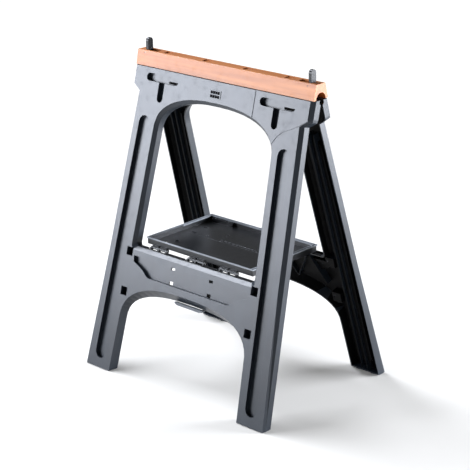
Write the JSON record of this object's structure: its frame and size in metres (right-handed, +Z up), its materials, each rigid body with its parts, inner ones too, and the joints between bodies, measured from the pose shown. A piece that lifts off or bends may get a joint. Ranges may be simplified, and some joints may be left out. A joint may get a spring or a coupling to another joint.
{
  "type": "folding sawhorse",
  "caption": "Folding plastic sawhorse: two splayed moulded leg frames under a work rail with flip-up board stops, braced by a folding tool tray.",
  "frame": {"origin": "on the floor, midway between the four feet, directly under the top rail", "axes": "+Z up, +X along the top rail, -Y towards the front leg frame (the one with the badge)"},
  "size_m": [0.6276, 0.462, 0.8305],
  "materials": {
    "frame_plastic": "fine matte mould texture, dark slate",
    "tray_plastic": "satin moulded, near black",
    "clip_plastic": "satin moulded, black",
    "badge_plastic": "glossy black",
    "rail_plastic": "matte moulded, pale orange",
    "steel": "drawn and zinc plated",
    "rubber": "matte black"
  },
  "bodies": {
    "front_legs": {"front_frame": "frame_plastic", "hinge_rod": "steel", "hinge_rod_cap_left": "steel", "hinge_rod_cap_right": "steel", "name_badge": "badge_plastic", "carry_grip": "frame_plastic", "foot_pad_front_left_inner": "rubber", "foot_pad_front_left_outer": "rubber", "foot_pad_front_right_inner": "rubber", "foot_pad_front_right_outer": "rubber", "front_tray_clip_left": "clip_plastic", "front_tray_clip_middle": "clip_plastic", "front_tray_clip_right": "clip_plastic", "front_tray_pin_left": "steel", "front_tray_pin_middle": "steel", "front_tray_pin_right": "steel"},
    "rear_legs": {"rear_frame": "frame_plastic", "foot_pad_rear_left_inner": "rubber", "foot_pad_rear_left_outer": "rubber", "foot_pad_rear_right_inner": "rubber", "foot_pad_rear_right_outer": "rubber", "rear_tray_clip_left": "clip_plastic", "rear_tray_clip_middle": "clip_plastic", "rear_tray_clip_right": "clip_plastic", "rear_tray_pin_left": "steel", "rear_tray_pin_middle": "steel", "rear_tray_pin_right": "steel"},
    "rail": {"top_rail": "rail_plastic", "board_stop_pin_left": "steel", "board_stop_pin_right": "steel"},
    "stop_left": {"board_stop_left": "clip_plastic"},
    "stop_right": {"board_stop_right": "clip_plastic"},
    "tray_front": {"tray_front_leaf": "tray_plastic", "tray_fold_pin_left": "steel", "tray_fold_pin_middle": "steel", "tray_fold_pin_right": "steel"},
    "tray_rear": {"tray_rear_leaf": "tray_plastic"}
  },
  "joints": [
    {"name": "leg_fold", "type": "hinge", "parent": "front_legs", "child": "rear_legs", "pos_m": [0, 0, 0.757], "axis": [1, 0, 0], "range_deg": [-30, 0]},
    {"name": "rail_tilt", "type": "hinge", "parent": "front_legs", "child": "rail", "pos_m": [0, 0, 0.757], "axis": [1, 0, 0], "range_deg": [-15.01, 0.01]},
    {"name": "tray_lift", "type": "hinge", "parent": "front_legs", "child": "tray_front", "pos_m": [0, -0.1195, 0.326], "axis": [1, 0, 0], "range_deg": [-0.01, 73.2]},
    {"name": "tray_fold", "type": "hinge", "parent": "tray_front", "child": "tray_rear", "pos_m": [0, 0, 0.326], "axis": [1, 0, 0], "range_deg": [-176.35, 0.01]},
    {"name": "stop_fold_left", "type": "hinge", "parent": "rail", "child": "stop_left", "pos_m": [-0.272, 0, 0.794], "axis": [0, 1, 0], "range_deg": [0, 90]},
    {"name": "stop_fold_right", "type": "hinge", "parent": "rail", "child": "stop_right", "pos_m": [0.272, 0, 0.794], "axis": [0, -1, 0], "range_deg": [0, 90]}
  ],
  "couplings": [
    {"joint": "rail_tilt", "follows": "leg_fold", "ratio": 0.5},
    {"joint": "tray_lift", "follows": "leg_fold", "ratio": -2.438},
    {"joint": "tray_fold", "follows": "leg_fold", "ratio": 5.876}
  ]
}
